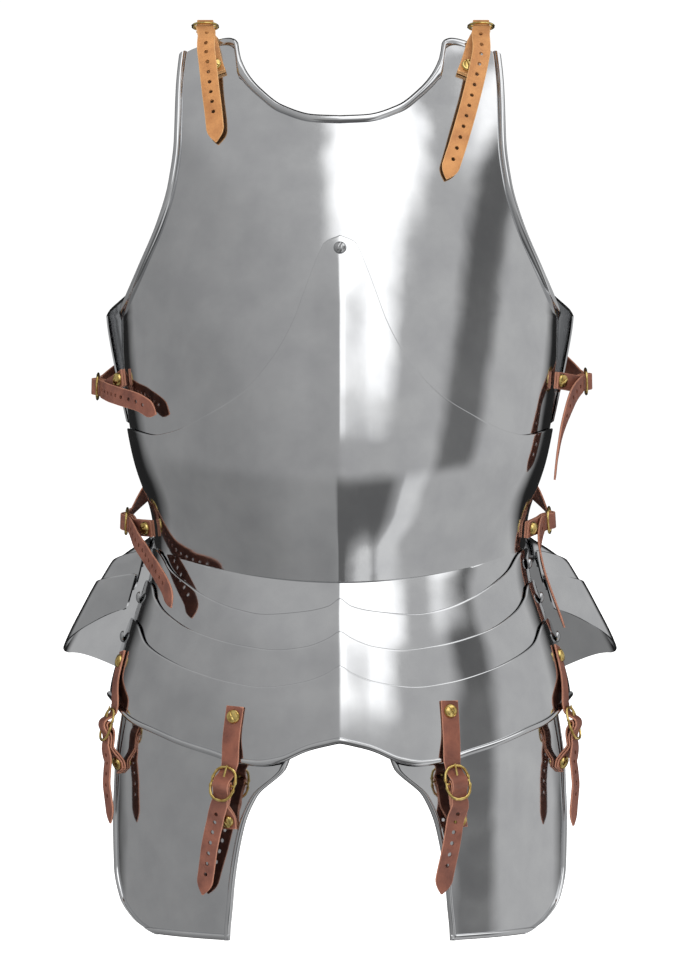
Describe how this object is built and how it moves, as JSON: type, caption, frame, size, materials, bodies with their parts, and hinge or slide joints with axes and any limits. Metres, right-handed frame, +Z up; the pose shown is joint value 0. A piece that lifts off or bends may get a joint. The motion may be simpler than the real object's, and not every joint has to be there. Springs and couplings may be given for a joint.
{
  "type": "steel cuirass",
  "caption": "Gothic-style polished steel cuirass: breast and back plates, pointed plackart, hinged fauld, flared culet and two strapped tassets, closed with buckled leather straps.",
  "frame": {"origin": "midway between the shoulders, at the underside of the two shoulder straps, on the middle plane", "axes": "+Z up, the breast faces -Y, +X toward the wearer's left"},
  "size_m": [0.453, 0.3504, 0.7153],
  "materials": {
    "steel": "polished",
    "tan_leather": "smooth tan",
    "brown_leather": "smooth brown",
    "brass": "polished"
  },
  "bodies": {
    "cuirass": {"breast_upper": "steel", "back_upper": "steel", "plackart": "steel", "back_lower": "steel", "culet_lame_1": "steel", "culet_lame_2": "steel", "culet_lame_3": "steel", "plackart_screw": "steel", "fauld_rivet_1_left": "steel", "fauld_rivet_1_right": "steel", "shoulder_strap_left": "tan_leather", "shoulder_chape_left": "tan_leather", "shoulder_buckle_left": "brass", "shoulder_rosette_left": "brass", "shoulder_strap_right": "tan_leather", "shoulder_chape_right": "tan_leather", "shoulder_buckle_right": "brass", "shoulder_rosette_right": "brass", "side_upper_strap_left": "brown_leather", "side_upper_chape_left": "brown_leather", "side_upper_buckle_left": "brass", "side_upper_rosette_left": "brass", "side_upper_strap_right": "brown_leather", "side_upper_chape_right": "brown_leather", "side_upper_buckle_right": "brass", "side_upper_rosette_right": "brass", "side_lower_strap_left": "brown_leather", "side_lower_chape_left": "brown_leather", "side_lower_buckle_left": "brass", "side_lower_rosette_left": "brass", "side_lower_strap_right": "brown_leather", "side_lower_chape_right": "brown_leather", "side_lower_buckle_right": "brass", "side_lower_rosette_right": "brass"},
    "fauld_1": {"fauld_lame_1": "steel", "fauld_rivet_2_left": "steel", "fauld_rivet_2_right": "steel"},
    "fauld_2": {"fauld_lame_2": "steel", "fauld_rivet_3_left": "steel", "fauld_rivet_3_right": "steel"},
    "fauld_3": {"fauld_lame_3": "steel", "tasset_left": "steel", "tasset_right": "steel", "tasset_inner_strap_left": "brown_leather", "tasset_inner_chape_left": "brown_leather", "tasset_inner_buckle_left": "brass", "tasset_inner_rosette_left": "brass", "tasset_inner_strap_right": "brown_leather", "tasset_inner_chape_right": "brown_leather", "tasset_inner_buckle_right": "brass", "tasset_inner_rosette_right": "brass", "tasset_outer_strap_left": "brown_leather", "tasset_outer_chape_left": "brown_leather", "tasset_outer_buckle_left": "brass", "tasset_outer_rosette_left": "brass", "tasset_outer_strap_right": "brown_leather", "tasset_outer_chape_right": "brown_leather", "tasset_outer_buckle_right": "brass", "tasset_outer_rosette_right": "brass"}
  },
  "joints": [
    {"name": "fauld_1_swing", "type": "hinge", "parent": "cuirass", "child": "fauld_1", "pos_m": [0, -0.028, -0.422], "axis": [-1, 0, 0], "range_deg": [0, 6]},
    {"name": "fauld_2_swing", "type": "hinge", "parent": "fauld_1", "child": "fauld_2", "pos_m": [0, -0.028, -0.449], "axis": [-1, 0, 0], "range_deg": [0, 6]},
    {"name": "fauld_3_swing", "type": "hinge", "parent": "fauld_2", "child": "fauld_3", "pos_m": [0, -0.028, -0.48], "axis": [-1, 0, 0], "range_deg": [0, 6]}
  ]
}
